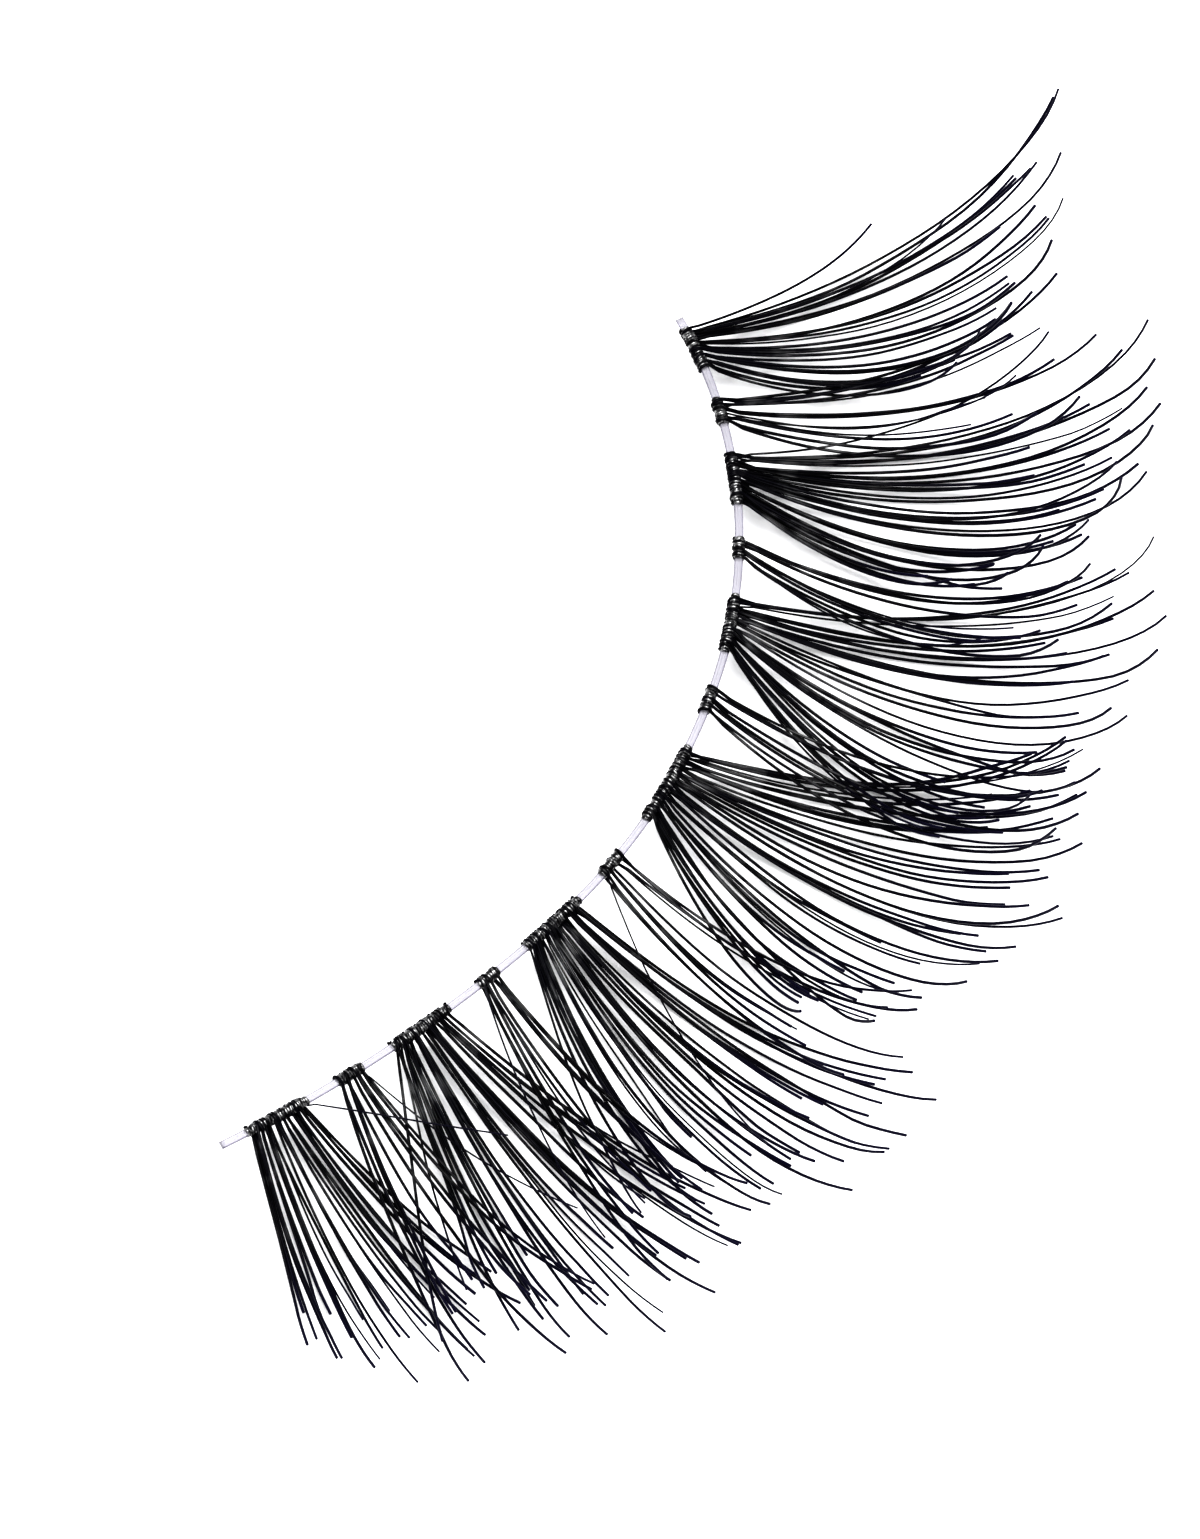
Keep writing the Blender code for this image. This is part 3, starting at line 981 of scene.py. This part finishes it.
def remade(name):
    """Takes away a piece of that name from an earlier run of its operator."""
    old = bpy.data.objects.get(name)
    if old:
        bpy.data.objects.remove(old, do_unlink=True)


class LASHES_OT_band(bpy.types.Operator):
    """Make the clear band"""

    bl_idname = "lashes.band"
    bl_label = "Clear band"

    def execute(self, context):
        settings = context.scene.lash_band
        remade("clear_band_ribbon")
        outline = ribbon_outline(settings.width, settings.thickness, settings.threads)
        outlines = []
        for i in range(BAND_STEPS + 1):
            point, _, outward = band_frame(BAND_LENGTH * i / BAND_STEPS)
            outlines.append([point + across * outward + rise * UP for across, rise in outline])
        material = kept_material("clear_nylon", nylon_material, settings)
        ribbon = swept("clear_band_ribbon", outlines, material)
        # The shares across the ribbon where the painted edge shade sets in
        reach = settings.width / 2.0
        edge = ribbon.data.attributes.new("edge", "FLOAT", "POINT")
        shares = [max(0.0, abs(across) / reach - PAINTED_EDGE_SHADE_FROM) / (1.0 - PAINTED_EDGE_SHADE_FROM) for across, _ in outline]
        edge.data.foreach_set("value", shares * (BAND_STEPS + 1))
        rides(ribbon, "band")
        return {"FINISHED"}


def make_tufts(context, kind):
    """Makes the hairs of all the tufts of one kind, a piece for each tuft."""
    settings = context.scene.lash_hairs
    tree = kept_tree("lash_hairs", hair_tree)
    fibre = kept_material("black_lash_fibre", fibre_material, settings)
    for index, row in enumerate(TUFTS):
        if kind not in row[0]:
            continue
        name = row[0] + "_lashes"
        remade(name)
        source = chains(name, tuft_strands(row, settings, settings.seed + index))
        lashes = grown(source, tree, {
            "Thickness": settings.thickness,
            "Sides": settings.sides,
            "Waviness": settings.waviness,
            "Seed": settings.seed + index,
            "Fibre": fibre,
        })
        rides(lashes, row[0])


class LASHES_OT_large_tufts(bpy.types.Operator):
    """Make the hairs of the seven large tufts"""

    bl_idname = "lashes.large_tufts"
    bl_label = "Large tufts"

    def execute(self, context):
        make_tufts(context, "large")
        return {"FINISHED"}


class LASHES_OT_small_tufts(bpy.types.Operator):
    """Make the hairs of the six small tufts"""

    bl_idname = "lashes.small_tufts"
    bl_label = "Small tufts"

    def execute(self, context):
        make_tufts(context, "small")
        return {"FINISHED"}


def knot_swell(share, small, phase):
    """How full a knot is along its length: drawn in at its ends, with lumps between them."""
    ends = min(1.0, KNOT_END + KNOT_END_RISE * min(share, 1.0 - share))
    if small:
        return ends + SMALL_LUMP * math.cos(math.tau * share)
    return ends + LARGE_LUMP * math.sin(LUMP_TURN * share + phase)


class LASHES_OT_knots(bpy.types.Operator):
    """Wind the knots that tie the tufts to the band"""

    bl_idname = "lashes.knots"
    bl_label = "Wound knots"

    def execute(self, context):
        settings = context.scene.lash_knots
        tree = kept_tree("wound_knot", knot_tree)
        thread = kept_material("wound_black_thread", knot_material, settings)
        for index, (node, middle, knot_length, *_) in enumerate(TUFTS):
            name = node + "_knot"
            remade(name)
            path = []
            swell = []
            for i in range(KNOT_STEPS + 1):
                share = i / KNOT_STEPS
                path.append(band_frame(middle + knot_length * KNOT_COVER * (share - 0.5))[0])
                swell.append(knot_swell(share, "small" in node, index))
            source = chains(name, [(path, swell, 0.0)])
            knot = grown(source, tree, {
                "Thread": settings.thread,
                "Pitch": settings.pitch,
                "Half width": settings.half_width,
                "Unevenness": settings.unevenness,
                "Seed": index,
                "Thread material": thread,
            })
            rides(knot, node)
        return {"FINISHED"}


def soft_light(name, power, size, place):
    """A square light turned towards the strip."""
    remade(name)
    data = bpy.data.lights.new(name, "AREA")
    data.shape = "SQUARE"
    data.size = size
    data.energy = power
    light = bpy.data.objects.new(name, data)
    light.location = place
    light.rotation_euler = (LIGHT_TARGET - place).to_track_quat("-Z", "Y").to_euler()
    bpy.context.scene.collection.objects.link(light)


class LASHES_OT_stage(bpy.types.Operator):
    """Make the floor, the soft light and the camera at the photograph's angle"""

    bl_idname = "lashes.stage"
    bl_label = "Floor, light and camera"

    def execute(self, context):
        settings = context.scene.lash_stage
        scene = context.scene
        half = settings.floor_size / 2.0
        remade("floor")
        data = bpy.data.meshes.new("floor")
        data.from_pydata(
            [(-half, -half, 0.0), (half, -half, 0.0), (half, half, 0.0), (-half, half, 0.0)],
            [],
            [(0, 1, 2, 3)],
        )
        data.materials.append(floor_material(settings))
        floor = bpy.data.objects.new("floor", data)
        scene.collection.objects.link(floor)

        world = bpy.data.worlds.new("soft_sky")
        world.use_nodes = True
        background = world.node_tree.nodes["Background"]
        background.inputs["Color"].default_value = (1.0, 1.0, 1.0, 1.0)
        background.inputs["Strength"].default_value = settings.sky
        scene.world = world

        for name, power, size, place in LIGHTS:
            soft_light(name, getattr(settings, power), size, Vector(place))

        elevation = math.radians(VIEW_ELEVATION)
        turn = math.radians(-VIEW_TURN)
        forward = Vector((
            math.sin(turn) * math.cos(elevation),
            math.cos(turn) * math.cos(elevation),
            -math.sin(elevation),
        ))
        target = BAND_START + Vector((*VIEW_MIDDLE_FROM_BAND_START, 0.0))
        remade("camera")
        lens = bpy.data.cameras.new("camera")
        lens.sensor_width = SENSOR
        lens.lens = SENSOR * VIEW_DISTANCE / VIEW_HEIGHT
        lens.clip_start, lens.clip_end = CLIP
        camera = bpy.data.objects.new("camera", lens)
        camera.location = target - VIEW_DISTANCE * forward
        camera.rotation_euler = forward.to_track_quat("-Z", "Y").to_euler()
        scene.collection.objects.link(camera)
        scene.camera = camera
        scene.view_settings.view_transform = "Standard"
        scene.view_settings.look = "High Contrast"
        return {"FINISHED"}


class LASHES_PT_panel(bpy.types.Panel):
    """The strip's steps and sizes"""

    bl_idname = "LASHES_PT_panel"
    bl_label = "False lashes"
    bl_space_type = "VIEW_3D"
    bl_region_type = "UI"
    bl_category = "Lashes"

    def draw(self, context):
        layout = self.layout
        for operator in OPERATORS:
            layout.operator(operator.bl_idname)
        for label, _ in SETTINGS:
            box = layout.box()
            settings = getattr(context.scene, label)
            for key in settings.__annotations__:
                box.prop(settings, key)


SETTINGS = (
    ("lash_band", LashBandSettings),
    ("lash_hairs", LashHairSettings),
    ("lash_knots", LashKnotSettings),
    ("lash_stage", LashStageSettings),
)
OPERATORS = (
    LASHES_OT_band,
    LASHES_OT_knots,
    LASHES_OT_large_tufts,
    LASHES_OT_small_tufts,
    LASHES_OT_stage,
)


def register():
    for label, group in SETTINGS:
        bpy.utils.register_class(group)
        setattr(bpy.types.Scene, label, bpy.props.PointerProperty(type=group))
    for operator in OPERATORS:
        bpy.utils.register_class(operator)
    bpy.utils.register_class(LASHES_PT_panel)


def unregister():
    bpy.utils.unregister_class(LASHES_PT_panel)
    for operator in reversed(OPERATORS):
        bpy.utils.unregister_class(operator)
    for label, group in reversed(SETTINGS):
        delattr(bpy.types.Scene, label)
        bpy.utils.unregister_class(group)


def main():
    register()
    bpy.ops.lashes.band()
    bpy.ops.lashes.knots()
    bpy.ops.lashes.large_tufts()
    bpy.ops.lashes.small_tufts()
    bpy.ops.lashes.stage()


if __name__ == "__main__":
    main()
